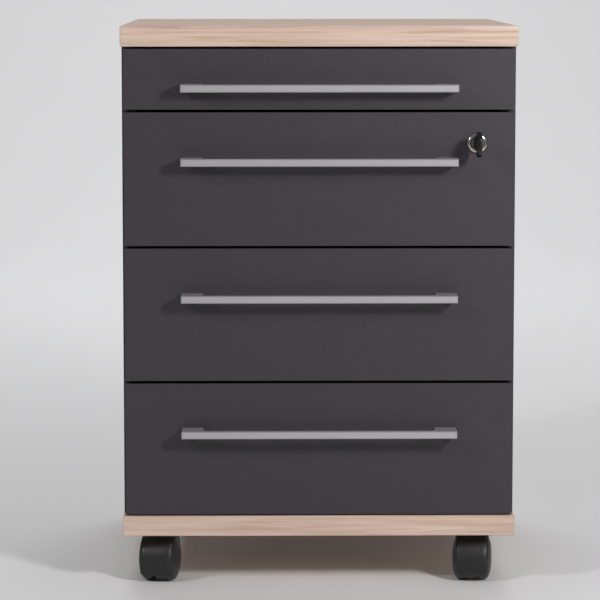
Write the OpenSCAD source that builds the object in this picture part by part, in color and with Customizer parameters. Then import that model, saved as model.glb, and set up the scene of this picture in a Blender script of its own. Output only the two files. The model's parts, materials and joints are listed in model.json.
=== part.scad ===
// Rolling pedestal cabinet: four drawers on roller runners, bar handles, a cam
// lock with its key, and four hooded twin-wheel swivel casters.
// Frame: X to the right, Y to the back, Z up. The origin is the middle of the
// bounding box on the floor.

/* [Cabinet] */
// Overall height, floor to top face
cab_h = 600; // [590:1:720]
// Width of the top and bottom boards
board_w = 420; // [400:1:520]
// Depth of the top and bottom boards
board_d = 430; // [425:1:560]
// Thickness of the top and bottom boards
board_t = 22; // [20:1:28]
// Thickness of the edge banding round the boards
band_t = 2; // [1:0.5:3]
// Thickness of the sides, the back and the drawer fronts
panel_t = 16; // [16:1:19]
// How far the boards stand out past the sides
board_lip = 1; // [0.5:0.5:3]

/* [Drawers] */
// Height of the shallow top front
top_front_h = 63.8; // [60:0.1:75]
// Gap between neighbouring fronts
front_gap = 3; // [2:0.5:4]
// Gap above the top front
gap_above = 2.4; // [1.5:0.1:4]
// Gap below the lowest front
gap_below = 1.6; // [1:0.1:4]
// How far the fronts stand back from the outside of the sides
front_inset = 2.5; // [1:0.5:4]
// Length of the runners and drawer boxes
runner_l = 350; // [320:5:380]
// Thickness of the drawer sides and backs
box_t = 12; // [12:1:15]
// Height of the sides of the three deep drawers
box_h = 82; // [70:1:88]
// Height of the sides of the shallow drawer
top_box_h = 44; // [36:1:46]
// Thickness of the drawer bottoms
base_t = 3; // [3:0.5:5]

/* [Handles] */
// Length of a handle
handle_l = 292; // [200:1:320]
// Height of the handle bar
handle_h = 8; // [6:1:9]
// Thickness of the handle bar, front to back
handle_t = 6; // [5:0.5:8]
// Reach of the handle out from the front
handle_reach = 29; // [25:1:34]
// Spacing of the two handle screws
handle_pitch = 256; // [160:32:256]

/* [Lock] */
// Diameter of the lock's rosette
rosette_d = 22; // [20:1:26]
// Distance from the side's outside to the lock's middle
lock_in = 42; // [42:0.5:43]
// Distance from the top of its front to the lock's middle
lock_down = 32.4; // [30:0.1:36]
// Reach of the key out from the front
key_reach = 42; // [40:1:46]

/* [Casters] */
// Height of a caster, floor to bottom board
caster_h = 55; // [55:1:60]
// Diameter of the wheels
wheel_d = 50; // [48:1:50]
// Width across a pair of wheels
pair_w = 43; // [40:0.5:44]
// Trail: distance from the swivel axis to the wheel axle
trail = 18; // [17:1:20]
// Distance from the board's side edge to the swivel axis
caster_in = 41.5; // [40:0.5:60]
// Distance from the board's front or back edge to the swivel axis
caster_back = 56; // [48:1:90]

/* [Hidden] */
$fn = 64;
e = 0.02;

// widths
xb = board_w / 2;
xs = xb - board_lip;
xi = xs - panel_t;
xm = xs - panel_t / 2;
xf = xs - front_inset;

// depths
front_set = 1;
depth = board_d + key_reach - front_set;
yb = -depth / 2 + key_reach - front_set;
yr = yb + board_d;
yf = yb + front_set;
yk = yf + panel_t;
ys = yk + 2;
yz = yr - 0.5;
ym = yz - panel_t / 2;

// heights
zb = caster_h;
zl = zb + board_t;
zt = cab_h;
zh = zt - board_t;
deep_front_h = (zh - zl - gap_above - gap_below - 3 * front_gap - top_front_h) / 3;
function front_z(n) = n == 1 ? zh - gap_above - top_front_h
                             : zl + gap_below + (4 - n) * (deep_front_h + front_gap);
function front_h(n) = n == 1 ? top_front_h : deep_front_h;
function handle_z(n) = front_z(n) + front_h(n) - (n == 1 ? 40.6 : 51.5);
function box_z(n) = front_z(n) + (n == 1 ? 6 : 12);
function side_h(n) = n == 1 ? top_box_h : box_h;
function run_z(n) = box_z(n) - 2;

// drawer box and runner
run_w = 12.5;
xo = xi - run_w;
xd = xo - box_t;
ybox = yk + runner_l;
base_dz = 6;
groove = 5;
roller_r = 10;
pin_r = 2.5;
y_front_roller = yk + 22;
y_rear_roller = ybox - 22;
side_screws = [yk + 57.5, yk + 197.5, ybox - 17.5];
box_screws = [yk + 37.5, yk + 177.5, ybox - 52.5];
function dowel_zs(n) = n == 1 ? [16, 32] : [20, 64];

// carcass joints
top_dowels = [yb + 94.5, yb + 219.5, yb + 344.5];
bottom_dowels = [yb + 134.5, yb + 304.5];
cam_ys = [yb + 54.5, yb + 389.5];
confirmat_ys = [yb + 54.5, yb + 234.5, yb + 389.5];
back_zs = [zl + 43, (zl + zh) / 2, zh - 38];
back_xs = [-100, 100];
cam_z = zh - 24;

// lock
lx = xs - lock_in;
lz = front_z(2) + front_h(2) - lock_down;
cam_r = 23;

// casters
wr = wheel_d / 2;
cx = xb - caster_in;
cyf = yb + caster_back;
cyr = yr - caster_back;
plate_t = 2;
caster_names = ["front_left", "front_right", "back_left", "back_right"];
caster_at = [[-cx, cyf, -100], [cx, cyf, -94.5], [-cx, cyr, -62], [cx, cyr, -112]];
half = pair_w / 2;
web_w = 5.5;
axle_r = 3;
king_r = 4;

oak = [0.84, 0.74, 0.68];
anthracite = [0.29, 0.27, 0.30];
liner = [0.86, 0.86, 0.85];
zinc = [0.72, 0.73, 0.75];
white_steel = [0.90, 0.90, 0.89];
satin = [0.68, 0.66, 0.68];
nickel = [0.80, 0.79, 0.76];
black = [0.10, 0.10, 0.11];
beech = [0.86, 0.72, 0.54];

// ---- helpers: boxes by their limits, cylinders along an axis
module box(x0, x1, y0, y1, z0, z1) translate([x0, y0, z0]) cube([x1 - x0, y1 - y0, z1 - z0]);
module xcyl(r, x0, x1, y, z) translate([x0, y, z]) rotate([0, 90, 0]) cylinder(r = r, h = x1 - x0);
module ycyl(r, y0, y1, x, z) translate([x, y0, z]) rotate([-90, 0, 0]) cylinder(r = r, h = y1 - y0);
module zcyl(r, z0, z1, x, y) translate([x, y, z0]) cylinder(r = r, h = z1 - z0);
module both() { children(); mirror([1, 0, 0]) children(); }

// ---- carcass boards
module top_panel() color(oak) difference() {
    box(-xb + band_t, xb - band_t, yb + band_t, yr - band_t, zh, zt);
    both() {
        for (y = top_dowels) zcyl(4.05, zh - 1, zh + 12, xm, y);
        for (y = cam_ys) zcyl(3.05, zh - 1, zh + 12, xm, y);
    }
    for (x = back_xs) zcyl(4.05, zh - 1, zh + 12, x, ym);
}

module bottom_panel() color(oak) difference() {
    box(-xb + band_t, xb - band_t, yb + band_t, yr - band_t, zb, zl);
    both() {
        for (y = bottom_dowels) zcyl(4.05, zl - 12, zl + 1, xm, y);
        for (y = confirmat_ys) {
            zcyl(3.55, zb - 1, zl + 1, xm, y);
            zcyl(5.05, zb - 1, zb + 4, xm, y);
        }
        for (c = [cyf, cyr], dx = [-15, 15], dy = [-15, 15])
            zcyl(1.55, zb - 1, zb + 13.5, cx + dx, c + dy);
        for (c = [cyf, cyr]) zcyl(5.1, zb - 1, zb + 2.5, cx, c);
    }
    for (x = back_xs) zcyl(4.05, zl - 12, zl + 1, x, ym);
}

module band_ring(z0, z1) {
    box(-xb, xb, yb, yb + band_t, z0, z1);
    box(-xb, xb, yr - band_t, yr, z0, z1);
    both() box(xb - band_t, xb, yb + band_t, yr - band_t, z0, z1);
}
module edge_bands() color(oak) { band_ring(zh, zt); band_ring(zb, zl); }

module side_panel(keeper) difference() {
    box(xi, xs, ys, yz, zl, zh);
    for (y = top_dowels) zcyl(4.05, zh - 12, zh + 1, xm, y);
    for (y = cam_ys) {
        xcyl(7.55, xi - 1, xi + 12.8, y, cam_z);
        zcyl(4.05, cam_z, zh + 1, xm, y);
    }
    for (y = bottom_dowels) zcyl(4.05, zl - 1, zl + 12, xm, y);
    for (y = confirmat_ys) zcyl(2.55, zl - 1, zl + 29, xm, y);
    for (z = back_zs) xcyl(4.05, xi - 1, xi + 12, ym, z);
    for (n = [1:4], y = side_screws) xcyl(1.55, xi - 1, xi + 11.5, y, run_z(n) + 11.2);
    if (keeper) for (dz = [-5, 5]) xcyl(1.55, xi - 1, xi + 11.5, ys + 18.5, lz + dz);
}
module side_panel_right() color(anthracite) side_panel(true);
module side_panel_left() color(anthracite) mirror([1, 0, 0]) side_panel(false);

module back_panel() color(anthracite) difference() {
    box(-xi, xi, yz - panel_t, yz, zl, zh);
    both() for (z = back_zs) xcyl(4.05, xi - 12, xi + 1, ym, z);
    for (x = back_xs) {
        zcyl(4.05, zh - 12, zh + 1, x, ym);
        zcyl(4.05, zl - 1, zl + 12, x, ym);
    }
}

// ---- carcass fittings
module cam_connector(y) {
    difference() {
        xcyl(7.5, xi + 0.2, xi + 12.6, y, cam_z);
        zcyl(3.2, cam_z, cam_z + 9, xm, y);
        box(xi, xi + 1.8, y - 4.5, y + 4.5, cam_z - 0.8, cam_z + 0.8);
        box(xi, xi + 1.8, y - 0.8, y + 0.8, cam_z - 4.5, cam_z + 4.5);
    }
    zcyl(3, cam_z + 0.5, zh + 11.5, xm, y);
}
module cam_connectors() color(zinc) both() for (y = cam_ys) cam_connector(y);

module wood_dowels() color(beech) {
    both() {
        for (y = top_dowels) zcyl(4, zh - 11.8, zh + 11.8, xm, y);
        for (y = bottom_dowels) zcyl(4, zl - 11.8, zl + 11.8, xm, y);
        for (z = back_zs) xcyl(4, xi - 11.8, xi + 11.8, ym, z);
    }
    for (x = back_xs) {
        zcyl(4, zh - 11.8, zh + 11.8, x, ym);
        zcyl(4, zl - 11.8, zl + 11.8, x, ym);
    }
}

module confirmat(y) difference() {
    union() {
        zcyl(5, zb + 0.3, zb + 4, xm, y);
        zcyl(3.5, zb + 3.9, zl - 0.5, xm, y);
        zcyl(2.5, zl - 0.6, zl + 28.5, xm, y);
    }
    translate([xm, y, zb]) cylinder(d = 4.6, h = 2.8, $fn = 6);
}
module confirmat_screws() color(zinc) both() for (y = confirmat_ys) confirmat(y);

// ---- roller runners. The cabinet half is a C channel with a roller at the
// front; the drawer half is a Z strip under the drawer side with a roller at the back
module channel(n) {
    z = run_z(n);
    y0 = yk + 4;
    difference() {
        union() {
            box(xi - 1.2, xi, y0, y0 + runner_l, z - 1.2, z + 23.6);
            box(xi - 10.4, xi - 1.2 + e, y0, y0 + runner_l, z - 1.2, z);
            box(xi - 10.4, xi - 1.2 + e, y0, y0 + runner_l, z + 22.4, z + 23.6);
            xcyl(pin_r, xi - 9.2, xi - 0.6, y_front_roller, z + roller_r + 0.1);
            xcyl(4.2, xi - 9.6, xi - 8.8, y_front_roller, z + roller_r + 0.1);
            xcyl(4, xi - 2.2, xi - 0.6, y_front_roller, z + roller_r + 0.1);
        }
        for (y = side_screws) xcyl(2, xi - 2, xi + 1, y, z + 11.2);
    }
}
module cabinet_runners_right() color(white_steel) for (n = [1:4]) channel(n);
module cabinet_runners_left() color(white_steel) mirror([1, 0, 0]) for (n = [1:4]) channel(n);

module pan_screw_x(x, y, z, len) {
    xcyl(3.5, x - 1, x, y, z);
    xcyl(1.5, x - 0.1, x + len, y, z);
}
module runner_screws() color(zinc) {
    both() for (n = [1:4], y = side_screws) pan_screw_x(xi - 1.2, y, run_z(n) + 11.2, 12);
    for (dz = [-5, 5]) pan_screw_x(xi - 1.2, ys + 18.5, lz + dz, 12);
}

module strip(n) {
    z = run_z(n);
    difference() {
        union() {
            box(xo, xo + 1.2, yk, ybox, z + 0.8, z + 21.5);
            box(xd, xo + e, yk, ybox, z + 0.8, z + 2);
            box(xo + 1.2 - e, xo + 9.9, yk, ybox, z + 20.3, z + 21.5);
            xcyl(pin_r, xo + 0.6, xo + 8.6, y_rear_roller, z + roller_r + 0.1);
            xcyl(4.2, xo + 8.3, xo + 9.1, y_rear_roller, z + roller_r + 0.1);
        }
        for (y = box_screws) xcyl(1.8, xo - 1, xo + 2, y, z + 11);
    }
}
module box_screw(n, y) mirror([1, 0, 0]) {
    xcyl(3.3, -xo - 2.2, -xo - 1.2, y, run_z(n) + 11);
    xcyl(1.5, -xo - 1.3, -xo + 6, y, run_z(n) + 11);
}
module drawer_runners(n) color(white_steel) both() {
    strip(n);
    for (y = box_screws) box_screw(n, y);
}

// A grooved plastic roller, x along its axle
module roller(w) rotate([0, 90, 0]) rotate_extrude() polygon([
    [pin_r + 0.05, 0], [6, 0], [6, 0.6], [8.6, 0.6], [8.6, 0], [roller_r - 0.5, 0], [roller_r, 0.5],
    [roller_r, w - 0.5], [roller_r - 0.5, w], [8.6, w], [8.6, w - 0.6], [6, w - 0.6], [6, w], [pin_r + 0.05, w]]);
module front_rollers(n) color(white_steel) both()
    translate([xi - 8.6, y_front_roller, run_z(n) + roller_r + 0.1]) roller(6.2);
module rear_rollers(n) color(white_steel) both()
    translate([xo + 1.7, y_rear_roller, run_z(n) + roller_r + 0.1]) roller(6.4);

// ---- drawers
module drawer_front(n) color(anthracite) difference() {
    z = front_z(n);
    b = box_z(n);
    box(-xf, xf, yf, yk, z, z + front_h(n));
    box(-xd - groove, xd + groove, yk - groove, yk + 1, b + base_dz - 0.05, b + base_dz + base_t + 0.05);
    both() {
        for (dz = dowel_zs(n)) ycyl(3.05, yk - 10, yk + 1, xo - box_t / 2, b + dz);
        ycyl(2.2, yf - 1, yk + 1, handle_pitch / 2, handle_z(n));
    }
    if (n == 2) ycyl(8.1, yf - 1, yk + 1, lx, lz);
}

module drawer_side(n) difference() {
    b = box_z(n);
    box(xd, xo, yk, ybox, b, b + side_h(n));
    box(xd - 1, xd + groove, yk - 1, ybox + 1, b + base_dz - 0.05, b + base_dz + base_t + 0.05);
    for (dz = dowel_zs(n)) {
        ycyl(3.05, yk - 1, yk + 18, xo - box_t / 2, b + dz);
        xcyl(3.05, xd - 1, xd + 8, ybox - box_t / 2, b + dz);
    }
    for (y = box_screws) xcyl(1.55, xo - 6.2, xo + 1, y, run_z(n) + 11);
}
module drawer_box(n) color(liner) {
    b = box_z(n);
    both() drawer_side(n);
    difference() {
        box(-xd, xd, ybox - box_t, ybox, b + base_dz + base_t + 0.05, b + side_h(n));
        both() for (dz = dowel_zs(n)) xcyl(3.05, xd - 18, xd + 1, ybox - box_t / 2, b + dz);
    }
    both() for (dz = dowel_zs(n)) {
        ycyl(3, yk - 9.8, yk + 17.8, xo - box_t / 2, b + dz);
        xcyl(3, xd - 17.8, xd + 7.8, ybox - box_t / 2, b + dz);
    }
}
module drawer_bottom(n) color(liner)
    box(-xd - groove + 0.1, xd + groove - 0.1, yk - groove + 0.1, ybox,
        box_z(n) + base_dz, box_z(n) + base_dz + base_t);

// ---- handles: a flat bar on two feet, cast in one, with two screws from inside
function arc(c, r, a0, a1, k) = [for (i = [0:k]) c + r * [cos(a0 + (a1 - a0) * i / k), sin(a0 + (a1 - a0) * i / k)]];
module handle_casting(n) {
    l = handle_l / 2;
    h = handle_h / 2;
    inner = handle_reach - handle_t;
    foot = l - 22.5;
    difference() {
        intersection() {
            translate([0, yf, handle_z(n) - h]) linear_extrude(handle_h) difference() {
                polygon([[-l, 0], [-l, 1 - handle_reach], [1 - l, -handle_reach], [l - 1, -handle_reach],
                         [l, 1 - handle_reach], [l, 0]]);
                polygon(concat([[foot, 1], [foot, -inner + 9]],
                               arc([foot - 9, -inner + 9], 9, 0, -90, 12),
                               arc([9 - foot, -inner + 9], 9, -90, -180, 12),
                               [[-foot, -inner + 9], [-foot, 1]]));
            }
            translate([-l - 1, yf, handle_z(n)]) rotate([90, 0, 90]) linear_extrude(2 * l + 2)
                polygon([[0, -h], [1 - handle_reach, -h], [-handle_reach, 1 - h],
                         [-handle_reach, h - 1], [1 - handle_reach, h], [0, h]]);
        }
        both() ycyl(2.05, yf - 13, yf + 1, handle_pitch / 2, handle_z(n));
    }
}
module handle_screw(n) {
    ycyl(2, yf - 12, yk + 0.1, handle_pitch / 2, handle_z(n));
    difference() {
        ycyl(4, yk, yk + 2.4, handle_pitch / 2, handle_z(n));
        for (a = [45, 135]) translate([handle_pitch / 2, yk + 1.2, handle_z(n)]) rotate([0, a, 0])
            box(-2.4, 2.4, 0, 2, -0.4, 0.4);
    }
}
module drawer_handle(n) color(satin) { handle_casting(n); both() handle_screw(n); }

// ---- cam lock in the second front
module lock_housing() color(nickel) difference() {
    translate([lx, yf, lz]) rotate([90, 0, 0]) union() {
        rotate_extrude() polygon(concat([[0, 0], [rosette_d / 2, 0], [rosette_d / 2, 1.2]],
                                        arc([rosette_d / 2 - 2.8, 1.2], 2.8, 0, 90, 10),
                                        [[0, 4]]));
        translate([0, 0, -panel_t - 4.6]) cylinder(r = 8, h = panel_t + 4.7);
    }
    ycyl(6.05, yf - 5, yk + 6, lx, lz);
    ycyl(7, yf - 5, yf - 3.3, lx, lz);
}
module lock_nut() color(zinc) difference() {
    translate([lx, yk, lz]) rotate([-90, 0, 0]) cylinder(d = 21, h = 3, $fn = 6);
    ycyl(8.03, yk - 1, yk + 4, lx, lz);
}
module lock_plug() color(nickel) difference() {
    union() {
        ycyl(6, yf - 3.4, yk + 5.4, lx, lz);
        box(lx - 3.5, lx + 3.5, yk + 5.3, yk + 9.5, lz - 3.5, lz + 3.5);
    }
    box(lx - 1.1, lx + 1.1, yf - 4, yk + 4.6, lz - 4.1, lz + 4.1);
    ycyl(1.7, yk + 4.7, yk + 10, lx, lz);
}
module lock_cam() color(zinc) {
    difference() {
        union() {
            ycyl(7, yk + 7.5, yk + 9.5, lx, lz);
            box(lx - 5, lx + 5, yk + 7.5, yk + 9.5, lz, lz + cam_r);
        }
        box(lx - 3.55, lx + 3.55, yk + 7, yk + 10, lz - 3.55, lz + 3.55);
    }
    ycyl(1.65, yk + 6, yk + 9.6, lx, lz);
    ycyl(5, yk + 9.55, yk + 11.6, lx, lz);
}
module key() color(black) {
    difference() {
        union() {
            box(lx - 1, lx + 1, yf - key_reach + 20, yk + 3.5, lz - 3.8, lz + 3.8);
            translate([lx - 2.5, yf - key_reach + 12, lz]) rotate([0, 90, 0])
                linear_extrude(5) intersection() {
                    circle(r = 13.5);
                    square([27, 24], center = true);
                }
        }
        xcyl(2.6, lx - 4, lx + 4, yf - key_reach + 5, lz);
    }
}
module lock_keeper() color(zinc) difference() {
    union() {
        box(xi - 1.2, xi, ys + 2.7, ys + 25.5, lz - 9, lz + 9);
        box(xi - 9, xi, ys + 2.7, ys + 4.1, lz - 9, lz + 9);
    }
    for (dz = [-5, 5]) xcyl(2, xi - 2, xi + 1, ys + 18.5, lz + dz);
}

// ---- casters, with the swivel axis on Z and the wheels trailing along +X
module at_caster(i) translate([caster_at[i][0], caster_at[i][1], 0]) rotate([0, 0, caster_at[i][2]]) children();
module sector(r, a0, a1, k) polygon(concat([[0, 0]], [for (i = [0:k]) r * [cos(a0 + (a1 - a0) * i / k), sin(a0 + (a1 - a0) * i / k)]]));
module on_axle() translate([trail, 0, wr]) rotate([90, 0, 0]) children();

module plate() {
    z0 = zb - plate_t;
    difference() {
        union() {
            box(-21, 21, -16, 16, z0, zb);
            box(-16, 16, -21, 21, z0, zb);
            for (x = [-16, 16], y = [-16, 16]) zcyl(5, z0, zb, x, y);
            zcyl(king_r, wr + 5, zb, 0, 0);
            zcyl(5, zb - e, zb + 1.6, 0, 0);
        }
        for (x = [-15, 15], y = [-15, 15]) {
            zcyl(1.85, z0 - 1, zb + 1, x, y);
            translate([x, y, z0 - e]) cylinder(r1 = 3.65 + e, r2 = 1.85, h = 1.8 + e);
        }
    }
}
module caster_plates() color(zinc) for (i = [0:3]) translate([caster_at[i][0], caster_at[i][1], 0]) plate();
module caster_screws() color(zinc) for (i = [0:3], x = [-15, 15], y = [-15, 15])
    translate([caster_at[i][0] + x, caster_at[i][1] + y, zb - plate_t]) difference() {
        union() {
            cylinder(r1 = 3.5, r2 = 1.7, h = 1.8);
            cylinder(r = 1.5, h = 15);
        }
        for (a = [0, 90]) rotate([0, 0, a]) box(-1.8, 1.8, -0.35, 0.35, -1, 0.9);
    }

// half profiles as [radius, distance out from the middle of the pair]
fender_in = [[wr + 1, half - 9], [wr + 0.9, half - 7.5], [wr + 0.5, half - 6.3], [wr - 0.2, half - 5.3], [wr - 1.25, half - 4.6]];
fender_out = [[wr - 1.4, half - 3.4], [wr, half - 3.8], [wr + 1, half - 4.6], [wr + 1.8, half - 6.1],
              [wr + 2.25, half - 8.1], [wr + 2.4, half - 10.5]];
wheel_out = [[wr, half - 8], [wr - 0.4, half - 6.6], [wr - 1, half - 5.6], [wr - 2, half - 4.55], [wr - 3, half - 3.75],
             [wr - 4.5, half - 2.9], [wr - 6.5, half - 2.1], [wr - 9, half - 1.4], [wr - 12.5, half - 0.75],
             [wr - 17, half - 0.3], [wr - 21, half - 0.08], [0, half]];

module hood_body() difference() {
    union() {
        // the fender over both wheels, with rounded shoulders
        on_axle() difference() {
            rotate_extrude() polygon(concat(
                [for (k = [len(fender_in) - 1:-1:0]) [fender_in[k][0], -fender_in[k][1]]], [for (p = fender_in) p],
                [for (p = fender_out) p], [for (k = [len(fender_out) - 1:-1:0]) [fender_out[k][0], -fender_out[k][1]]]));
            translate([0, 0, -half - 1]) linear_extrude(pair_w + 2) sector(60, 150, 322, 8);
        }
        // the web between the wheels
        on_axle() translate([0, 0, -web_w]) linear_extrude(2 * web_w) difference() {
            circle(r = wr + 1.2);
            translate([-40, -47]) square([80, 40]);
        }
        zcyl(web_w, wr + 2, zb - plate_t - 0.6, 0, 0);
        difference() {
            zcyl(10.5, wr + 18, zb - plate_t - 0.6, 0, 0);
            on_axle() for (s = [-1, 1]) translate([0, 0, s > 0 ? web_w : -half - 2])
                cylinder(r = wr + 0.8, h = half + 2 - web_w);
        }
    }
    zcyl(king_r + 0.05, wr + 4.5, zb, 0, 0);
    on_axle() translate([0, 0, -web_w - 1]) cylinder(r = axle_r + 0.02, h = 2 * web_w + 2);
}
module caster_hood(i) color(black) at_caster(i) {
    hood_body();
    on_axle() translate([0, 0, 1.5 - half]) cylinder(r = axle_r, h = pair_w - 3);
}

// One wheel: a hollow cup with a domed outer face. s is the side of the pair
module wheel(i, s) color(black) at_caster(i) translate([trail, 0, wr]) rotate([s > 0 ? -90 : 90, 0, 0])
    rotate_extrude() polygon(concat(
        [[axle_r + 0.05, web_w + 0.7], [6.5, web_w + 0.7], [6.5, half - 6], [wr - 4.5, half - 6],
         [wr - 4.5, web_w + 0.7], [wr - 1, web_w + 0.7], [wr, web_w + 1.7]],
        wheel_out,
        [[0, half - 1.2], [axle_r + 0.05, half - 1.2]]));

module drawer_front_1() drawer_front(1);
module drawer_front_2() drawer_front(2);
module drawer_front_3() drawer_front(3);
module drawer_front_4() drawer_front(4);
module drawer_box_1() drawer_box(1);
module drawer_box_2() drawer_box(2);
module drawer_box_3() drawer_box(3);
module drawer_box_4() drawer_box(4);
module drawer_bottom_1() drawer_bottom(1);
module drawer_bottom_2() drawer_bottom(2);
module drawer_bottom_3() drawer_bottom(3);
module drawer_bottom_4() drawer_bottom(4);
module drawer_runners_1() drawer_runners(1);
module drawer_runners_2() drawer_runners(2);
module drawer_runners_3() drawer_runners(3);
module drawer_runners_4() drawer_runners(4);
module drawer_handle_1() drawer_handle(1);
module drawer_handle_2() drawer_handle(2);
module drawer_handle_3() drawer_handle(3);
module drawer_handle_4() drawer_handle(4);
module front_rollers_1() front_rollers(1);
module front_rollers_2() front_rollers(2);
module front_rollers_3() front_rollers(3);
module front_rollers_4() front_rollers(4);
module rear_rollers_1() rear_rollers(1);
module rear_rollers_2() rear_rollers(2);
module rear_rollers_3() rear_rollers(3);
module rear_rollers_4() rear_rollers(4);
module caster_hood_front_left() caster_hood(0);
module caster_hood_front_right() caster_hood(1);
module caster_hood_back_left() caster_hood(2);
module caster_hood_back_right() caster_hood(3);
// looking along the trail, the wheel on the +Y side of the caster's own frame has s = 1
module wheel_front_left_outer() wheel(0, -1);
module wheel_front_left_inner() wheel(0, 1);
module wheel_front_right_outer() wheel(1, 1);
module wheel_front_right_inner() wheel(1, -1);
module wheel_back_left_outer() wheel(2, -1);
module wheel_back_left_inner() wheel(2, 1);
module wheel_back_right_outer() wheel(3, 1);
module wheel_back_right_inner() wheel(3, -1);

top_panel();
bottom_panel();
edge_bands();
side_panel_left();
side_panel_right();
back_panel();
cam_connectors();
wood_dowels();
confirmat_screws();
cabinet_runners_left();
cabinet_runners_right();
runner_screws();
lock_keeper();
caster_plates();
caster_screws();
drawer_front_1();
drawer_front_2();
drawer_front_3();
drawer_front_4();
drawer_box_1();
drawer_box_2();
drawer_box_3();
drawer_box_4();
drawer_bottom_1();
drawer_bottom_2();
drawer_bottom_3();
drawer_bottom_4();
drawer_runners_1();
drawer_runners_2();
drawer_runners_3();
drawer_runners_4();
drawer_handle_1();
drawer_handle_2();
drawer_handle_3();
drawer_handle_4();
front_rollers_1();
front_rollers_2();
front_rollers_3();
front_rollers_4();
rear_rollers_1();
rear_rollers_2();
rear_rollers_3();
rear_rollers_4();
lock_housing();
lock_nut();
lock_plug();
lock_cam();
key();
caster_hood_front_left();
caster_hood_front_right();
caster_hood_back_left();
caster_hood_back_right();
wheel_front_left_outer();
wheel_front_left_inner();
wheel_front_right_outer();
wheel_front_right_inner();
wheel_back_left_outer();
wheel_back_left_inner();
wheel_back_right_outer();
wheel_back_right_inner();
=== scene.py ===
import bpy
import bmesh
import json
import math
from mathutils import Vector, Matrix


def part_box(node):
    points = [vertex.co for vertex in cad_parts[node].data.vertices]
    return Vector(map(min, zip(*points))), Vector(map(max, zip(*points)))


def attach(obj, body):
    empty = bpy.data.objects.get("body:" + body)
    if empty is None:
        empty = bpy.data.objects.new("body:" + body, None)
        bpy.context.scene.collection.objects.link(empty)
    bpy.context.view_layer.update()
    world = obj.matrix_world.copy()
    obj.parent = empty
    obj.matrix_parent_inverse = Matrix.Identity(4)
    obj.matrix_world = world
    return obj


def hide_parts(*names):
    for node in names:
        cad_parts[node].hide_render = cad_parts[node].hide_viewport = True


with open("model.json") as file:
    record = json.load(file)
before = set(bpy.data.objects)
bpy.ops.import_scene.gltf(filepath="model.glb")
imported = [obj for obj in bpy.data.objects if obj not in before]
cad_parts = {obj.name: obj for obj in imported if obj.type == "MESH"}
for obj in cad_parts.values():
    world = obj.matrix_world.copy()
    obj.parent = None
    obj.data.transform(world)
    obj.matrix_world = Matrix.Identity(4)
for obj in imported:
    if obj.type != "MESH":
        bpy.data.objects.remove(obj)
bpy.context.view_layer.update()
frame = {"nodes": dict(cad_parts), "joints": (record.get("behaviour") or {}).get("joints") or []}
N = frame["nodes"]
scene = bpy.context.scene
scene.view_settings.view_transform = "Standard"
scene.view_settings.look = "None"
MM = 0.001


# ------------------------------------------------------------------ materials
def srgb(r, g, b):
    def f(c):
        c = c / 255.0
        return c / 12.92 if c <= 0.04045 else ((c + 0.055) / 1.055) ** 2.4
    return (f(r), f(g), f(b), 1.0)


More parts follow.
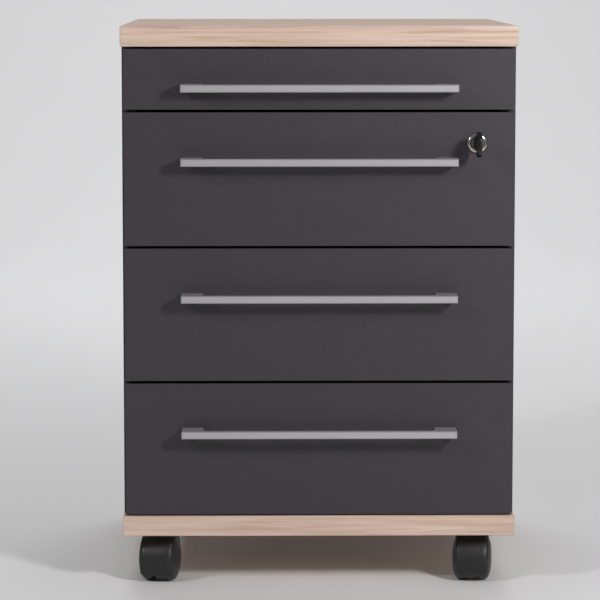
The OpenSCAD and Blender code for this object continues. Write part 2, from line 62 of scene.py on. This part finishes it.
class Mat:
    """A small helper round one node tree."""

    def __init__(self, name):
        self.m = bpy.data.materials.new(name)
        self.m.use_nodes = True
        self.t = self.m.node_tree
        self.t.nodes.clear()
        self.out = self.t.nodes.new("ShaderNodeOutputMaterial")
        self.b = self.t.nodes.new("ShaderNodeBsdfPrincipled")
        self.t.links.new(self.b.outputs[0], self.out.inputs[0])
        self.coord = self.t.nodes.new("ShaderNodeTexCoord")

    def set(self, **kw):
        names = {"metallic": "Metallic", "roughness": "Roughness", "ior": "IOR", "spec": "Specular IOR Level",
                 "coat": "Coat Weight", "coat_rough": "Coat Roughness", "color": "Base Color",
                 "aniso": "Anisotropic", "sheen": "Sheen Weight"}
        for k, v in kw.items():
            self.b.inputs[names[k]].default_value = v
        return self

    def node(self, kind, **kw):
        n = self.t.nodes.new(kind)
        for k, v in kw.items():
            if hasattr(n, k):
                setattr(n, k, v)
            else:
                n.inputs[k].default_value = v
        return n

    def link(self, a, b):
        self.t.links.new(a, b)

    def mapping(self, scale, rot=(0, 0, 0), loc=(0, 0, 0), src=None):
        mp = self.t.nodes.new("ShaderNodeMapping")
        mp.inputs["Scale"].default_value = scale
        mp.inputs["Rotation"].default_value = rot
        mp.inputs["Location"].default_value = loc
        self.link(src or self.coord.outputs["Object"], mp.inputs[0])
        return mp.outputs[0]

    def noise(self, vec, scale=5.0, detail=4.0, rough=0.5, distortion=0.0):
        n = self.t.nodes.new("ShaderNodeTexNoise")
        n.inputs["Scale"].default_value = scale
        n.inputs["Detail"].default_value = detail
        n.inputs["Roughness"].default_value = rough
        n.inputs["Distortion"].default_value = distortion
        self.link(vec, n.inputs["Vector"])
        return n.outputs["Fac"]

    def ramp(self, fac, stops, interp="LINEAR"):
        r = self.t.nodes.new("ShaderNodeValToRGB")
        r.color_ramp.interpolation = interp
        els = r.color_ramp.elements
        while len(els) < len(stops):
            els.new(0.5)
        for e, (p, c) in zip(els, stops):
            e.position = p
            e.color = c if len(c) == 4 else (*c, 1)
        self.link(fac, r.inputs[0])
        return r.outputs["Color"]

    def grey(self, fac, stops):
        return self.ramp(fac, [(p, (v, v, v, 1)) for p, v in stops])

    def mix(self, fac, a, b, blend="MIX"):
        n = self.t.nodes.new("ShaderNodeMix")
        n.data_type = "RGBA"
        n.blend_type = blend
        for sock, v in (("Factor", fac),):
            if isinstance(v, (int, float)):
                n.inputs[0].default_value = v
            else:
                self.link(v, n.inputs[0])
        for i, v in ((6, a), (7, b)):
            if isinstance(v, tuple):
                n.inputs[i].default_value = v
            else:
                self.link(v, n.inputs[i])
        return n.outputs[2]

    def math(self, op, a, b=None):
        n = self.t.nodes.new("ShaderNodeMath")
        n.operation = op
        for i, v in enumerate((a, b)):
            if v is None:
                continue
            if isinstance(v, (int, float)):
                n.inputs[i].default_value = v
            else:
                self.link(v, n.inputs[i])
        return n.outputs[0]

    def bump(self, height, strength=0.2, distance=0.0005, prev=None):
        n = self.t.nodes.new("ShaderNodeBump")
        n.inputs["Strength"].default_value = strength
        n.inputs["Distance"].default_value = distance
        self.link(height, n.inputs["Height"])
        if prev is not None:
            self.link(prev, n.inputs["Normal"])
        return n.outputs[0]

    def color(self, sock):
        self.link(sock, self.b.inputs["Base Color"])

    def rough(self, sock):
        self.link(sock, self.b.inputs["Roughness"])

    def normal(self, sock):
        self.link(sock, self.b.inputs["Normal"])


def wood(name, edge, along="X"):
    """Pinkish-beige elm decor with its grain from side to side, or along Y on the bands of the board's sides."""
    m = Mat(name)
    if along == "Y":
        turned = m.mapping((1, 1, 1), rot=(0, 0, math.radians(90)))
        plain_mapping = m.mapping
        m.mapping = lambda scale, rot=(0, 0, 0), loc=(0, 0, 0), src=None: plain_mapping(scale, rot, loc, src or turned)
    # broad bands of tone, long wavy streaks over them, then fine hair lines
    wide = m.noise(m.mapping((1.1, 26, 34)), 2.2, 3.0, 0.55, 0.35)
    streak = m.noise(m.mapping((2.6, 62, 78)), 2.4, 4.0, 0.60, 0.55)
    hue = m.noise(m.mapping((3.4, 74, 96), loc=(0.37, 0.11, 0.23)), 1.9, 3.0, 0.55, 0.60)
    fine = m.noise(m.mapping((3.0, 170, 230)), 2.4, 4.0, 0.60, 0.3)
    pores = m.noise(m.mapping((9, 520, 640)), 2.0, 3.0, 0.6)
    rings = m.node("ShaderNodeTexWave", wave_type="BANDS", bands_direction="Y")
    rings.inputs["Scale"].default_value = 9.0
    rings.inputs["Distortion"].default_value = 7.0
    rings.inputs["Detail"].default_value = 3.0
    rings.inputs["Detail Scale"].default_value = 0.9
    m.link(m.mapping((0.55, 2.2, 2.2)), rings.inputs["Vector"])
    c = m.ramp(wide, [(0.30, srgb(188, 157, 136)), (0.46, srgb(204, 178, 160)), (0.62, srgb(218, 195, 181)), (0.80, srgb(203, 177, 161))])
    f = m.ramp(streak, [(0.32, srgb(148, 112, 86)), (0.41, srgb(184, 151, 126)), (0.49, srgb(211, 186, 169)), (0.58, srgb(222, 201, 188)),
                        (0.70, srgb(242, 227, 216))])
    c = m.mix(0.74 if edge else 0.56, c, f)
    h = m.ramp(hue, [(0.34, srgb(210, 188, 146)), (0.50, srgb(206, 180, 162)), (0.66, srgb(224, 182, 174))])
    c = m.mix(0.34, c, h)
    g = m.ramp(fine, [(0.32, srgb(166, 132, 108)), (0.50, srgb(210, 185, 169)), (0.70, srgb(232, 214, 202))])
    c = m.mix(0.26, c, g)
    ringc = m.ramp(rings.outputs["Fac"], [(0.0, srgb(193, 164, 144)), (0.35, srgb(209, 186, 171)), (1.0, srgb(213, 191, 177))])
    c = m.mix(0.08 if edge else 0.25, c, ringc)
    p = m.grey(pores, [(0.28, 0.0), (0.40, 1.0)])
    c = m.mix(m.math("MULTIPLY", m.math("SUBTRACT", 1.0, p), 0.20), c, srgb(164, 132, 110))
    m.color(c)
    m.rough(m.grey(fine, [(0.25, 0.34), (0.75, 0.24)] if edge else [(0.25, 0.62), (0.75, 0.52)]))
    n = m.bump(pores, 0.12, 0.00010)
    n = m.bump(fine, 0.08, 0.00010, n)
    m.normal(n)
    m.set(spec=0.5 if edge else 0.22)
    return m.m


def anthracite(name, tone=1.0):
    """Anthracite melamine with a fine pearl texture."""
    m = Mat(name)
    cloud = m.noise(m.mapping((1, 1, 1)), 14.0, 4.0, 0.55)
    speck = m.noise(m.mapping((1, 1, 1)), 900.0, 3.0, 0.65)
    fine = m.noise(m.mapping((1, 1, 1)), 2600.0, 2.0, 0.6)
    a = m.ramp(cloud, [(0.3, srgb(52 * tone, 45.5 * tone, 54 * tone)), (0.7, srgb(57 * tone, 49.5 * tone, 59 * tone))])
    b = m.ramp(speck, [(0.34, srgb(36 * tone, 30.5 * tone, 37.5 * tone)), (0.50, srgb(54 * tone, 47.5 * tone, 56 * tone)),
                       (0.68, srgb(75 * tone, 67 * tone, 77 * tone))])
    c = m.mix(0.65, a, b)
    m.color(c)
    m.rough(m.grey(speck, [(0.3, 0.44), (0.7, 0.54)]))
    n = m.bump(speck, 0.14, 0.00015)
    n = m.bump(fine, 0.10, 0.00006, n)
    m.normal(n)
    m.set(spec=0.55)
    return m.m


def board_light(name, r, g, b, scale=700.0):
    m = Mat(name)
    speck = m.noise(m.mapping((1, 1, 1)), scale, 3.0, 0.6)
    cloud = m.noise(m.mapping((1, 1, 1)), 11.0, 3.0, 0.5)
    c = m.mix(0.5, m.ramp(cloud, [(0.3, srgb(r - 4, g - 4, b - 4)), (0.7, srgb(r + 3, g + 3, b + 3))]),
              m.ramp(speck, [(0.35, srgb(r - 9, g - 9, b - 8)), (0.65, srgb(r + 6, g + 6, b + 6))]))
    m.color(c)
    m.rough(m.grey(speck, [(0.3, 0.46), (0.7, 0.58)]))
    m.normal(m.bump(speck, 0.12, 0.00012))
    m.set(spec=0.4)
    return m.m


def satin_metal(name, r, g, b, rough=0.34):
    """Sprayed silver metal: a fine metallic flake under satin lacquer."""
    m = Mat(name)
    flake = m.noise(m.mapping((1, 1, 1)), 3200.0, 2.0, 0.7)
    cloud = m.noise(m.mapping((1, 1, 1)), 22.0, 3.0, 0.5)
    c = m.mix(0.35, m.ramp(flake, [(0.35, srgb(r - 16, g - 16, b - 15)), (0.65, srgb(r + 14, g + 14, b + 14))]),
              m.ramp(cloud, [(0.3, srgb(r - 4, g - 4, b - 4)), (0.7, srgb(r + 4, g + 4, b + 4))]))
    m.color(c)
    m.rough(m.grey(flake, [(0.3, rough - 0.05), (0.7, rough + 0.07)]))
    m.normal(m.bump(flake, 0.10, 0.00004))
    m.set(metallic=0.6, spec=0.5)
    return m.m


def plated(name, r, g, b, rough, scratch=0.08):
    """Plated steel: even colour with faint drawing marks."""
    m = Mat(name)
    draw = m.noise(m.mapping((1, 6, 6)), 420.0, 3.0, 0.6)
    blot = m.noise(m.mapping((1, 1, 1)), 60.0, 4.0, 0.6)
    m.color(m.ramp(blot, [(0.3, srgb(r - 9, g - 9, b - 8)), (0.7, srgb(r + 6, g + 6, b + 6))]))
    m.rough(m.grey(draw, [(0.3, max(rough - 0.05, 0.03)), (0.7, rough + 0.08)]))
    m.normal(m.bump(draw, scratch, 0.00005))
    m.set(metallic=1.0)
    return m.m


def coated(name, r, g, b):
    """Epoxy-coated sheet steel with slight orange peel."""
    m = Mat(name)
    peel = m.noise(m.mapping((1, 1, 1)), 260.0, 3.0, 0.5)
    dust = m.noise(m.mapping((1, 1, 1)), 25.0, 4.0, 0.6)
    m.color(m.ramp(dust, [(0.35, srgb(r - 8, g - 8, b - 9)), (0.65, srgb(r, g, b))]))
    m.rough(m.grey(peel, [(0.3, 0.30), (0.7, 0.42)]))
    m.normal(m.bump(peel, 0.10, 0.0002))
    return m.m


def plastic(name, r, g, b, rough, grain=1500.0, bump=0.10, spread=6):
    m = Mat(name)
    g1 = m.noise(m.mapping((1, 1, 1)), grain, 2.0, 0.6)
    g2 = m.noise(m.mapping((1, 1, 1)), 45.0, 4.0, 0.6)
    lo = [max(v - spread, 1) for v in (r, g, b)]
    hi = [min(v + spread, 255) for v in (r, g, b)]
    m.color(m.ramp(g2, [(0.3, srgb(*lo)), (0.7, srgb(*hi))]))
    m.rough(m.grey(g1, [(0.3, rough - 0.05), (0.7, rough + 0.08)]))
    m.normal(m.bump(g1, bump, 0.00006))
    m.set(spec=0.5)
    return m.m


def raw_wood(name):
    m = Mat(name)
    grain = m.noise(m.mapping((300, 300, 300)), 3.0, 4.0, 0.6)
    m.color(m.ramp(grain, [(0.3, srgb(196, 160, 116)), (0.7, srgb(224, 194, 152))]))
    m.rough(m.grey(grain, [(0.3, 0.6), (0.7, 0.75)]))
    m.normal(m.bump(grain, 0.2, 0.0001))
    return m.m


M = {
    "wood": wood("elm_decor", False),
    "wood_edge": wood("elm_edge_band", True),
    "wood_edge_side": wood("elm_edge_band_side", True, "Y"),
    "front": anthracite("anthracite_front", 0.92),
    "side": anthracite("anthracite_side"),
    "box": board_light("lining_board", 206, 206, 203),
    "base": board_light("base_board", 214, 213, 209, 420.0),
    "handle": satin_metal("satin_silver", 190, 185, 190, 0.40),
    "zinc": plated("zinc_plate", 186, 188, 192, 0.30),
    "nickel": plated("nickel_plate", 198, 194, 184, 0.10, 0.03),
    "steel": coated("coated_runner", 222, 222, 219),
    "nylon": plastic("white_nylon", 224, 223, 217, 0.42),
    "dowel": raw_wood("beech"),
    "hood": plastic("hood_black", 27, 26, 28, 0.44, 900.0, 0.16),
    "wheel": plastic("wheel_black", 30, 30, 32, 0.36, 1200.0, 0.10),
    "tread": plastic("tread_grey_black", 40, 39, 41, 0.55, 700.0, 0.2),
    "bow": plastic("bow_black", 24, 24, 25, 0.22, 1400.0, 0.05),
}


def assign(o, m):
    o.data.materials.clear()
    o.data.materials.append(m)


def dress(names, m, bevel=0.0, segs=2, angle=30.0):
    """A CAD node keeps its shape and gets its material, welded seams, small eased edges and smooth rounds."""
    for n in names:
        o = N[n]
        assign(o, m)
        w = o.modifiers.new("weld", "WELD")
        w.merge_threshold = 2e-6
        if bevel:
            b = o.modifiers.new("ease", "BEVEL")
            b.width = bevel * MM
            b.segments = segs
            b.limit_method = "ANGLE"
            b.angle_limit = math.radians(angle)
            b.use_clamp_overlap = True
            b.harden_normals = True
            b.miter_outer = "MITER_ARC"


# ------------------------------------------------------------------ mesh helpers
def new_object(name, bm, material, smooth=30.0):
    me = bpy.data.meshes.new(name)
    bmesh.ops.recalc_face_normals(bm, faces=bm.faces)
    bm.to_mesh(me)
    bm.free()
    o = bpy.data.objects.new(name, me)
    scene.collection.objects.link(o)
    me.materials.append(material)
    for p in me.polygons:
        p.use_smooth = True
    me.set_sharp_from_angle(angle=math.radians(smooth))
    return o


def lathe(name, profile, matrix, material, segs=96, smooth=32.0):
    """Turns a closed (radius, height) profile, in mm, about +Z, then places it."""
    bm = bmesh.new()
    rings = []
    for r, h in profile:
        if r < 1e-6:
            v = bm.verts.new((0, 0, h * MM))
            rings.append([v] * segs)
        else:
            rings.append([bm.verts.new((r * MM * math.cos(2 * math.pi * k / segs), r * MM * math.sin(2 * math.pi * k / segs), h * MM)) for k in range(segs)])
    for a, b in zip(rings, rings[1:] + rings[:1]):
        for k in range(segs):
            q = [a[k], a[(k + 1) % segs], b[(k + 1) % segs], b[k]]
            u = []
            for v in q:
                if v not in u:
                    u.append(v)
            if len(u) > 2:
                bm.faces.new(u)
    bmesh.ops.transform(bm, matrix=matrix, verts=bm.verts)
    return new_object(name, bm, material, smooth)


def prism(name, outline, x0, x1, material, ease=0.0, segs=3, smooth=30.0, holes=()):
    """An outline in (y, z), in mm, given thickness along X."""
    bm = bmesh.new()
    vs = [bm.verts.new((x0 * MM, y * MM, z * MM)) for y, z in outline]
    f = bm.faces.new(vs)
    r = bmesh.ops.extrude_face_region(bm, geom=[f])
    up = [g for g in r["geom"] if isinstance(g, bmesh.types.BMVert)]
    bmesh.ops.translate(bm, verts=up, vec=((x1 - x0) * MM, 0, 0))
    if ease:
        edges = [e for e in bm.edges if len(e.link_faces) == 2 and e.calc_face_angle(0) > math.radians(60)]
        bmesh.ops.bevel(bm, geom=edges, offset=ease * MM, segments=segs, profile=0.5, affect="EDGES", clamp_overlap=True)
    return new_object(name, bm, material, smooth)


def box_mesh(bm, x0, x1, y0, y1, z0, z1):
    r = bmesh.ops.create_cube(bm, size=1.0)
    for v in r["verts"]:
        v.co = Vector(((x0 + x1) / 2 + v.co.x * (x1 - x0), (y0 + y1) / 2 + v.co.y * (y1 - y0), (z0 + z1) / 2 + v.co.z * (z1 - z0)))
    return r["verts"]


# ------------------------------------------------------------------ carcass
dress(["top_panel", "bottom_panel"], M["wood"])
dress(["side_panel_left", "side_panel_right", "back_panel"], M["side"], 0.35)
dress([f"drawer_front_{n}" for n in range(1, 5)], M["front"], 0.55, 3)
dress([f"drawer_box_{n}" for n in range(1, 5)], M["box"], 0.35)
dress([f"drawer_bottom_{n}" for n in range(1, 5)], M["base"], 0.15)
dress([f"drawer_handle_{n}" for n in range(1, 5)], M["handle"], 0.22, 2)
dress([f"drawer_runners_{n}" for n in range(1, 5)] + ["cabinet_runners_left", "cabinet_runners_right"], M["steel"], 0.2)
dress([f"{e}_rollers_{n}" for n in range(1, 5) for e in ("front", "rear")], M["nylon"], 0.15)
dress(["cam_connectors", "confirmat_screws", "runner_screws", "lock_keeper", "caster_plates", "caster_screws",
       "lock_nut", "lock_cam"], M["zinc"], 0.12)
dress(["wood_dowels"], M["dowel"], 0.2)
dress(["lock_housing", "lock_plug"], M["nickel"], 0.1)
dress([f"caster_hood_{c}" for c in ("front_left", "front_right", "back_left", "back_right")], M["hood"], 0.35, 3)
dress([n for n in N if n.startswith("wheel_")], M["wheel"], 0.2, 2)
dress(["key"], M["bow"], 0.5, 3)


# ------------------------------------------------------------------ edge bands with rounded outer edges
def edge_bands():
    lo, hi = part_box("edge_bands")
    t = 0.002
    t_lo, t_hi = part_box("top_panel")
    b_lo, b_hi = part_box("bottom_panel")
    for tag, z0, z1 in (("top", t_lo.z, t_hi.z), ("bottom", b_lo.z, b_hi.z)):
        strips = {
            "front": (lo.x, hi.x, lo.y, lo.y + t),
            "back": (lo.x, hi.x, hi.y - t, hi.y),
            "left": (lo.x, lo.x + t, lo.y + t, hi.y - t),
            "right": (hi.x - t, hi.x, lo.y + t, hi.y - t),
        }
        for side, (x0, x1, y0, y1) in strips.items():
            bm = bmesh.new()
            box_mesh(bm, x0, x1, y0, y1, z0, z1)

            def outer(p):
                return sum((abs(p.x - lo.x) < 1e-6, abs(p.x - hi.x) < 1e-6, abs(p.y - lo.y) < 1e-6,
                            abs(p.y - hi.y) < 1e-6, abs(p.z - z0) < 1e-6, abs(p.z - z1) < 1e-6)) >= 2

            edges = [e for e in bm.edges if outer((e.verts[0].co + e.verts[1].co) / 2)]
            bmesh.ops.bevel(bm, geom=edges, offset=0.0014, segments=6, profile=0.5, affect="EDGES")
            o = new_object(f"edge_band_{tag}_{side}", bm, M["wood_edge"] if side in ("front", "back") else M["wood_edge_side"], 35)
            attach(o, "cabinet")
            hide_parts("edge_bands")


edge_bands()


# ------------------------------------------------------------------ lock and key
def arc(cx, cy, r, a0, a1, k):
    return [(cx + r * math.cos(math.radians(a0 + (a1 - a0) * i / k)), cy + r * math.sin(math.radians(a0 + (a1 - a0) * i / k)))
            for i in range(k + 1)]


def lock():
    lo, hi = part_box("lock_housing")
    p_lo, p_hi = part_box("lock_plug")
    x, z = (lo.x + hi.x) / 2, (lo.z + hi.z) / 2
    f_lo, f_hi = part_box("drawer_front_2")
    yf = f_lo.y
    back = -(hi.y - yf) / MM
    m = Matrix.Translation((x, yf, z)) @ Matrix.Rotation(math.radians(90), 4, "X")
    profile = ([(8, back), (8, 0), (10.6, 0), (11, 0.25), (11, 1.0)] + arc(8.1, 1.1, 2.9, 0, 88, 14)
               + [(7.6, 4.0)] + arc(7.6, 3.55, 0.45, 90, 180, 5) + [(7.1, 3.3), (6.05, 3.25), (6.05, back)])
    o = lathe("lock_rosette", profile, m, M["nickel"], 96, 40)
    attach(o, "drawer_2")
    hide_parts("lock_housing")

    # the key: a nickel blade with cuts, and a moulded bow
    k_lo, k_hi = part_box("key")
    y_tip, y_out = k_hi.y / MM, k_lo.y / MM
    zc, xc = z / MM, x / MM
    yb = y_out + 12
    h = 3.75
    root = y_out + 20.5
    top = [(root, zc + h), (y_tip - 2.6, zc + h), (y_tip - 0.4, zc + 1.6), (y_tip - 0.05, zc + 0.6)]
    low = [(y_tip - 0.05, zc - 0.6), (y_tip - 2.0, zc - 2.2)]
    y = y_tip - 3.2
    for depth in (1.0, 2.2, 0.7, 1.8, 1.3, 2.4):
        low += [(y, zc - h + depth), (y - 1.3, zc - h + depth), (y - 2.2, zc - h + 0.15)]
        y -= 3.1
    low += [(y, zc - h), (root, zc - h)]
    blade = prism("key_blade", [(a, b) for a, b in top + low], xc - 0.95, xc + 0.95, M["nickel"], 0.14, 2)
    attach(blade, "key")
    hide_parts("key")

    # bow: a flattened round with a raised rim and a sunk middle, and a hole for a ring
    def loop(s, half_t, k=72):
        pts = []
        for i in range(k):
            a = 2 * math.pi * i / k
            r = 13.4 * s
            py = max(-11.95 * s, min(11.95 * s, r * math.cos(a)))
            pts.append((xc + half_t, yb + py, zc + r * math.sin(a)))
        return pts

    bm = bmesh.new()
    hole_y, hole_r = yb - 7.0, 2.6
    sections = [(0.74, 1.55), (0.80, 1.65), (0.845, 2.2), (0.88, 2.42), (0.93, 2.46), (0.965, 2.25), (0.988, 1.8),
                (1.0, 1.1), (1.0, 0.0), (1.0, -1.1), (0.988, -1.8), (0.965, -2.25), (0.93, -2.46), (0.88, -2.42),
                (0.845, -2.2), (0.80, -1.65), (0.74, -1.55)]
    rings = [[bm.verts.new(Vector(p) * MM) for p in loop(s, t)] for s, t in sections]
    k = len(rings[0])
    for a, b in zip(rings, rings[1:]):
        for i in range(k):
            bm.faces.new([a[i], a[(i + 1) % k], b[(i + 1) % k], b[i]])
    # the sunk middle on each side, with the ring hole through it
    hk = 24
    holes = []
    for ring, t in ((rings[0], 1.55), (rings[-1], -1.55)):
        hv = [bm.verts.new(Vector((xc + t, hole_y + hole_r * math.cos(2 * math.pi * i / hk), zc + hole_r * math.sin(2 * math.pi * i / hk))) * MM) for i in range(hk)]
        he = [bm.edges.new((hv[i], hv[(i + 1) % hk])) for i in range(hk)]
        re = [bm.edges.get((ring[i], ring[(i + 1) % k])) for i in range(k)]
        bmesh.ops.triangle_fill(bm, use_beauty=True, edges=he + re)
        holes.append(hv)
    for i in range(hk):
        bm.faces.new([holes[0][i], holes[1][i], holes[1][(i + 1) % hk], holes[0][(i + 1) % hk]])
    # the collar where the bow holds the blade
    vs = box_mesh(bm, (xc - 2.2) * MM, (xc + 2.2) * MM, (y_out + 21.5) * MM, (y_out + 25.2) * MM, (zc - 4.6) * MM, (zc + 4.6) * MM)
    es = [e for e in bm.edges if e.verts[0] in vs and e.verts[1] in vs]
    bmesh.ops.bevel(bm, geom=es, offset=0.0007, segments=3, profile=0.5, affect="EDGES")
    o = new_object("key_bow", bm, M["bow"], 38)
    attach(o, "key")
    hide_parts("key")


lock()


# ------------------------------------------------------------------ caster wheels
def wheels():
    joints = {j["child"]: j for j in frame["joints"]}
    for n in sorted(x for x in N if x.startswith("wheel_")):
        j = joints[n]
        p, a = Vector(j["pos_m"]), Vector(j["axis"]).normalized()
        lo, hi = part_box(n)
        out = 1 if ((lo + hi) / 2 - p).dot(a) > 0 else -1
        z = a * out
        rot = z.to_track_quat("Z", "Y").to_matrix().to_4x4()
        m = Matrix.Translation(p) @ rot
        half, i0 = 21.5, 6.2
        pts = [(25.0, 12.6), (25.0, half - 8), (24.6, half - 6.6), (24.0, half - 5.6), (23.0, half - 4.55), (22.0, half - 3.75),
               (20.5, half - 2.9), (18.5, half - 2.1), (16.0, half - 1.4), (12.5, half - 0.75), (8.0, half - 0.3),
               (4.0, half - 0.08), (0.0, half), (-4.0, half - 0.08)]
        dome = []
        for k in range(1, len(pts) - 2):
            for u in range(3):
                t = u / 3
                q, h = (0.5 * (2 * p1 + (p2 - p0) * t + (2 * p0 - 5 * p1 + 4 * p2 - p3) * t * t + (3 * p1 - p0 - 3 * p2 + p3) * t ** 3)
                        for p0, p1, p2, p3 in zip(pts[k - 1], pts[k], pts[k + 1], pts[k + 2]))
                q, h = min(max(q, 0.0), 25.0), min(h, half) - 0.05 * (k > 2)
                if 17.7 < q < 19.0:
                    h -= 0.35
                if q < 6.4:
                    h -= 0.25
                dome.append((q, h))
        profile = ([(3.05, i0), (6.3, i0), (6.5, i0 + 0.2), (6.5, half - 6), (20.3, half - 6), (20.5, half - 6.2), (20.5, i0 + 0.2),
                    (20.7, i0), (23.8, i0)] + arc(23.9, i0 + 1.1, 1.1, -90, 0, 5)
                   + [(25.0, 9.6), (24.7, 9.8), (24.7, 10.2), (25.0, 10.4)]
                   + dome + [(0, half - 0.3), (0, half - 1.2), (3.05, half - 1.2)])
        o = lathe(n + "_disc", profile, m, M["wheel"], 96, 28)
        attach(o, n)
        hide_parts(n)


wheels()


# ------------------------------------------------------------------ floor, light and camera
def stage():
    bm = bmesh.new()
    # a floor that curves up into a back wall
    w, pts = 6.0, []
    for k in range(0, 2):
        pts.append((-7.0 + 10.2 * k, 0.0))
    for k in range(1, 13):
        a = math.radians(90 * k / 12)
        pts.append((3.2 + 2.4 * math.sin(a), 2.4 - 2.4 * math.cos(a)))
    pts.append((5.6, 7.0))
    rows = [[bm.verts.new((s * w, y, z)) for s in (-1, 1)] for y, z in pts]
    for a, b in zip(rows, rows[1:]):
        bm.faces.new([a[0], a[1], b[1], b[0]])
    me = bpy.data.meshes.new("backdrop")
    bm.to_mesh(me)
    bm.free()
    o = bpy.data.objects.new("backdrop", me)
    scene.collection.objects.link(o)
    for p in me.polygons:
        p.use_smooth = True
    m = bpy.data.materials.new("studio_floor")
    m.use_nodes = True
    b = m.node_tree.nodes["Principled BSDF"]
    b.inputs["Base Color"].default_value = (0.87, 0.87, 0.88, 1)
    b.inputs["Roughness"].default_value = 0.6
    b.inputs["Specular IOR Level"].default_value = 0.15
    me.materials.append(m)


def area(name, loc, target, size, power, color=(1, 1, 1), size_y=None):
    d = bpy.data.lights.new(name, "AREA")
    d.energy = power
    d.color = color
    d.size = size
    if size_y:
        d.shape = "RECTANGLE"
        d.size_y = size_y
    o = bpy.data.objects.new(name, d)
    o.location = loc
    o.rotation_euler = (Vector(target) - Vector(loc)).to_track_quat("-Z", "Y").to_euler()
    scene.collection.objects.link(o)
    return o


def lights():
    world = bpy.data.worlds.new("studio")
    scene.world = world
    world.use_nodes = True
    bg = world.node_tree.nodes["Background"]
    bg.inputs[0].default_value = (1.0, 1.0, 1.0, 1)
    bg.inputs[1].default_value = 0.19
    area("key", (0.88, -1.48, 0.95), (0.06, -0.19, 0.42), 0.24, 15.8, (1.0, 0.985, 0.985))
    area("fill", (-1.55, -1.65, 1.45), (0, -0.15, 0.42), 0.28, 14.2, (0.985, 0.985, 1.0))
    area("overhead", (0.0, 2.7, 3.3), (0, 2.9, 0.0), 2.8, 78)


def camera():
    d = bpy.data.cameras.new("camera")
    d.sensor_width = 36
    d.lens = 175.4
    d.clip_start = 0.05
    d.clip_end = 50
    o = bpy.data.objects.new("camera", d)
    o.location = (-0.05656, -3.28131, 0.65878)
    o.rotation_euler = Vector((0.01168, 0.99360, -0.11236)).to_track_quat("-Z", "Y").to_euler()
    scene.collection.objects.link(o)
    scene.camera = o


stage()
lights()
camera()

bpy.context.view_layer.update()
